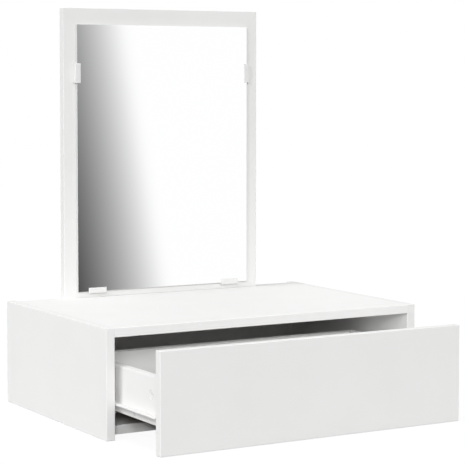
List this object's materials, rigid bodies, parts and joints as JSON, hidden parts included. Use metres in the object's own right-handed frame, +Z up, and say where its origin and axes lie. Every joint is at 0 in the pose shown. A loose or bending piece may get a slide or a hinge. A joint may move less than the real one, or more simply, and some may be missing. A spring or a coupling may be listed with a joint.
{
  "type": "dressing table",
  "caption": "Shallow white board dressing table with a drawer on roller runners and an upright mirror clipped to a board at the back; hangs on a wall or stands on a surface.",
  "frame": {"origin": "under the middle of the table with its drawer open as pictured, level with the lower edges of the side panels", "axes": "+X to the viewer's right, +Y from the drawer front to the wall, +Z up"},
  "size_m": [0.6, 0.55, 0.7],
  "materials": {
    "white_board": "particle board with a white melamine face, satin",
    "white_hardboard": "thin hardboard with a white lacquered face",
    "silvered_glass": "clear float glass silvered on its back, edges ground",
    "clip_plastic": "moulded, semi-gloss",
    "white_steel": "folded sheet steel, white powder coat",
    "roller_nylon": "moulded nylon",
    "plated_steel": "bright zinc plate",
    "white_zinc": "die-cast zinc, white lacquer",
    "beech": "plain beech"
  },
  "bodies": {
    "cabinet": {"left_side_panel": "white_board", "right_side_panel": "white_board", "top_panel": "white_board", "bottom_panel": "white_board", "back_panel": "white_board", "mirror_board": "white_board", "mirror_glass": "silvered_glass", "left_mirror_clip": "clip_plastic", "right_mirror_clip": "clip_plastic", "lower_left_mirror_clip": "clip_plastic", "lower_right_mirror_clip": "clip_plastic", "clip_screws": "plated_steel", "left_cabinet_runner": "white_steel", "right_cabinet_runner": "white_steel", "cabinet_runner_screws": "plated_steel", "front_roller_pins": "plated_steel", "cabinet_cam_locks": "white_zinc", "cabinet_cam_bolts": "plated_steel", "cabinet_dowels": "beech"},
    "drawer": {"drawer_front": "white_board", "drawer_left_side": "white_board", "drawer_right_side": "white_board", "drawer_back": "white_board", "drawer_bottom": "white_hardboard", "drawer_back_screws": "plated_steel", "left_drawer_runner": "white_steel", "right_drawer_runner": "white_steel", "drawer_runner_screws": "plated_steel", "rear_roller_pins": "plated_steel", "drawer_cam_locks": "white_zinc", "drawer_cam_bolts": "plated_steel", "drawer_dowels": "beech"},
    "left_front_roller": {"left_front_roller": "roller_nylon"},
    "right_front_roller": {"right_front_roller": "roller_nylon"},
    "left_rear_roller": {"left_rear_roller": "roller_nylon"},
    "right_rear_roller": {"right_rear_roller": "roller_nylon"}
  },
  "joints": [
    {"name": "drawer_slide", "type": "slide", "parent": "cabinet", "child": "drawer", "axis": [0, -1, 0], "range_m": [-0.15, 0.04]},
    {"name": "left_front_roller_spin", "type": "hinge", "parent": "cabinet", "child": "left_front_roller", "pos_m": [-0.2792, -0.094, 0.0497], "axis": [1, 0, 0], "continuous": true},
    {"name": "right_front_roller_spin", "type": "hinge", "parent": "cabinet", "child": "right_front_roller", "pos_m": [0.2792, -0.094, 0.0497], "axis": [1, 0, 0], "continuous": true},
    {"name": "left_rear_roller_spin", "type": "hinge", "parent": "drawer", "child": "left_rear_roller", "pos_m": [-0.2763, -0.018, 0.0493], "axis": [1, 0, 0], "continuous": true},
    {"name": "right_rear_roller_spin", "type": "hinge", "parent": "drawer", "child": "right_rear_roller", "pos_m": [0.2763, -0.018, 0.0493], "axis": [1, 0, 0], "continuous": true}
  ],
  "couplings": [
    {"joint": "left_front_roller_spin", "follows": "drawer_slide", "rad_per_m": 133.33},
    {"joint": "right_front_roller_spin", "follows": "drawer_slide", "rad_per_m": 133.33},
    {"joint": "left_rear_roller_spin", "follows": "drawer_slide", "rad_per_m": 133.33},
    {"joint": "right_rear_roller_spin", "follows": "drawer_slide", "rad_per_m": 133.33}
  ]
}
